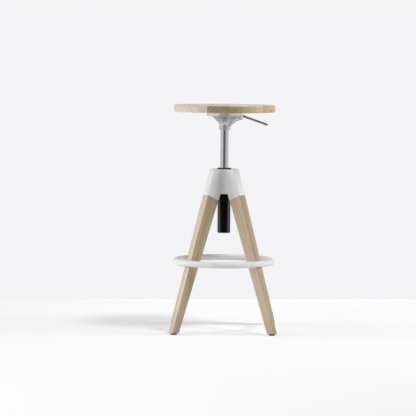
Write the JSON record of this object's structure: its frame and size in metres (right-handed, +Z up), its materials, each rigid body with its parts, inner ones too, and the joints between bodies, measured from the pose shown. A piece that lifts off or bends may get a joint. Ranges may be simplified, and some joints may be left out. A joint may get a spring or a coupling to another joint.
{
  "type": "bar stool",
  "caption": "Height-adjustable swivel bar stool: round wooden seat on a gas spring with a release lever, a white hub with splayed wooden legs, and a foot ring.",
  "frame": {"origin": "on the floor, under the axis of the stool", "axes": "+Z up along the column; the lever points to +X; the front, which the picture shows, is -Y"},
  "size_m": [0.369, 0.369, 0.78],
  "materials": {
    "seat_wood": "bleached oak, matt lacquer",
    "leg_wood": "bleached oak, matt lacquer",
    "white_casting": "white powder coat on a die casting",
    "white_tube": "white powder coat",
    "black_tube": "satin black",
    "black_plastic": "moulded",
    "glide_plastic": "moulded",
    "chrome_tube": "polished chrome",
    "chrome_lever": "polished chrome",
    "grey_casting": "satin die casting",
    "zinc_steel": "zinc plated",
    "ground_steel": "ground",
    "cage_brass": "pressed",
    "inner_aluminium": "turned",
    "inner_plastic": "moulded",
    "rubber": "moulded"
  },
  "bodies": {
    "base": {"leg_front_right": "leg_wood", "leg_back_right": "leg_wood", "leg_back_left": "leg_wood", "leg_front_left": "leg_wood", "foot_glide_front_right": "glide_plastic", "foot_glide_back_right": "glide_plastic", "foot_glide_back_left": "glide_plastic", "foot_glide_front_left": "glide_plastic", "hub_casting": "white_casting", "leg_screws": "zinc_steel", "foot_ring": "white_tube", "ring_inserts": "zinc_steel", "ring_screws": "zinc_steel", "column_tube": "black_tube", "guide_bush": "black_plastic", "thrust_race_lower": "ground_steel", "thrust_balls": "ground_steel", "ball_cage": "cage_brass"},
    "spindle": {"piston_rod": "ground_steel", "piston": "inner_aluminium", "piston_ring": "inner_plastic", "thrust_race_upper": "ground_steel", "rubber_bumper": "rubber", "end_washer": "zinc_steel", "retaining_clip": "zinc_steel"},
    "seat_assembly": {"pressure_tube": "chrome_tube", "rod_guide": "inner_aluminium", "rod_seal": "rubber", "valve_body": "inner_aluminium", "seat_plate": "grey_casting", "seat_screws": "zinc_steel", "seat_board": "seat_wood", "lever_pivot_pin": "zinc_steel"},
    "lever": {"lever_rod": "chrome_lever", "lever_rocker": "zinc_steel"},
    "release_button": {"release_pin": "ground_steel"}
  },
  "joints": [
    {"name": "seat_swivel", "type": "hinge", "parent": "base", "child": "spindle", "pos_m": [0, 0, 0.35], "axis": [0, 0, 1], "continuous": true},
    {"name": "seat_lift", "type": "slide", "parent": "spindle", "child": "seat_assembly", "axis": [0, 0, 1], "range_m": [-0.125, 0], "stiffness_N_per_m": 480, "springref_m": 0.625},
    {"name": "lever_pull", "type": "hinge", "parent": "seat_assembly", "child": "lever", "pos_m": [0.05, 0, 0.736], "axis": [0, -1, 0], "range_deg": [0, 5], "stiffness_Nm_per_rad": 0.6, "springref_deg": -5.73},
    {"name": "release_press", "type": "slide", "parent": "seat_assembly", "child": "release_button", "axis": [0, 0, -1], "range_m": [0, 0.0044]}
  ],
  "couplings": [
    {"joint": "release_press", "follows": "lever_pull", "m_per_rad": 0.05}
  ]
}
